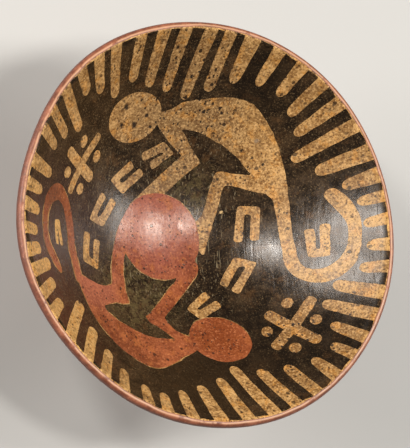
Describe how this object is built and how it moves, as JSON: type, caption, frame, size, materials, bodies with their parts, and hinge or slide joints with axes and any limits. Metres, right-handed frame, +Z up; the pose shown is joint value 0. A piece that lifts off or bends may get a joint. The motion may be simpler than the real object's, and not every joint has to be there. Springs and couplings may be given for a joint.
{
  "type": "footed pottery bowl",
  "caption": "Round footed pottery bowl with flared wall, painted inside in cream, red and dark brown with two monkeys round a red disc inside a ring of rays.",
  "frame": {"origin": "centre of the foot's resting plane, under the axis of the bowl", "axes": "+Z up along the bowl's axis; seen from above, +Y points to the cream monkey's back and +X to its rump and tail"},
  "size_m": [0.1898, 0.1898, 0.0882],
  "materials": {
    "clay": "burnished red-brown clay with dark specks",
    "cream_slip": "burnished golden cream slip with fine black specks and stains",
    "red_paint": "burnished brick red paint with dark specks",
    "red_rim": "burnished pinkish red band, rubbed along the lip",
    "dark_coat": "burnished brown-black resist coat, mottled and finely scratched"
  },
  "bodies": {
    "root": {"floor_disc": "clay", "wall_coil_1": "clay", "wall_coil_2": "clay", "wall_coil_3": "clay", "wall_coil_4": "clay", "wall_coil_5": "clay", "rim_coil": "clay", "foot_upper_coil": "clay", "foot_base_coil": "clay", "foot_luting_coil": "clay", "cream_slip_coat": "cream_slip", "red_rim_band": "red_rim", "red_disc": "red_paint", "red_monkey": "red_paint", "dark_coat_field": "dark_coat", "dark_coat_upper_gap": "dark_coat", "dark_coat_lower_gap": "dark_coat"}
  },
  "joints": []
}
